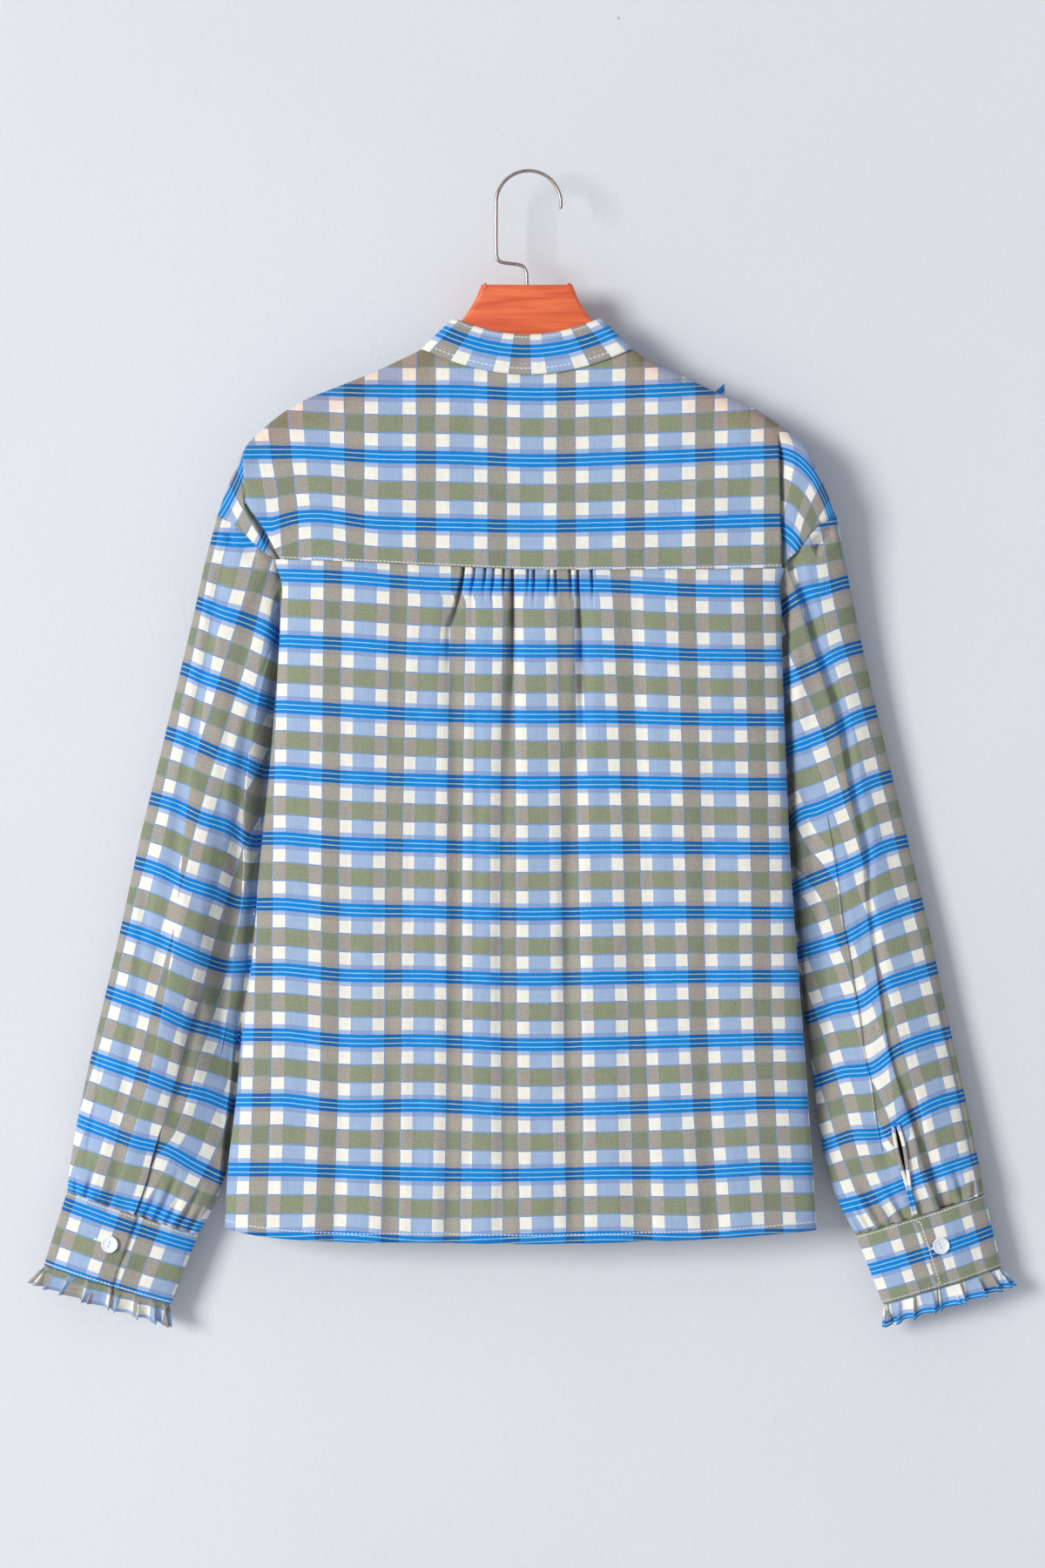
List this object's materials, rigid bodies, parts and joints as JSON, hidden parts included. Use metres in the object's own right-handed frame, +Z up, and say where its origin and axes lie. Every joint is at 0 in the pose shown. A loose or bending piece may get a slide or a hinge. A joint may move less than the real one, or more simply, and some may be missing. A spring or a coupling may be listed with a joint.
{
  "type": "checked blouse on a wooden clothes hanger",
  "caption": "Long-sleeved checked blouse with a band collar, back yoke, frilled button cuffs and dropped shoulders, hanging on a flat wooden hanger with a wire hook.",
  "frame": {"origin": "inside the crown of the hanger's hook, on the underside of the wire where a rail carries it, in the middle of the hanger's thickness", "axes": "+Z up through the hook; the blouse's back, the pictured side, faces -Y and its buttoned front faces +Y; +X to the right of someone who looks at the back"},
  "size_m": [0.739, 0.057, 0.8659],
  "materials": {
    "checked_cotton": "plain woven cotton in a check of off-white, periwinkle, taupe, olive and bright blue",
    "button": "glossy white",
    "hanger_wood": "orange-red stain, satin varnish, fine grain",
    "hook_wire": "bronze-tinted round wire"
  },
  "bodies": {
    "root": {"back_panel": "checked_cotton", "collar": "checked_cotton", "front_left": "checked_cotton", "front_right": "checked_cotton", "placket": "checked_cotton", "sleeve_left": "checked_cotton", "sleeve_right": "checked_cotton", "cuff_left": "checked_cotton", "cuff_right": "checked_cotton", "yoke": "checked_cotton", "cuff_frill_left": "checked_cotton", "cuff_frill_right": "checked_cotton", "shoulder_frill_left": "checked_cotton", "shoulder_frill_right": "checked_cotton", "slit_binding_left": "checked_cotton", "slit_binding_right": "checked_cotton", "cuff_button_left": "button", "cuff_button_right": "button", "front_button_1": "button", "front_button_2": "button", "front_button_3": "button", "front_button_4": "button", "front_button_5": "button", "front_button_6": "button", "hanger_body": "hanger_wood", "hanger_hook": "hook_wire"}
  },
  "joints": []
}
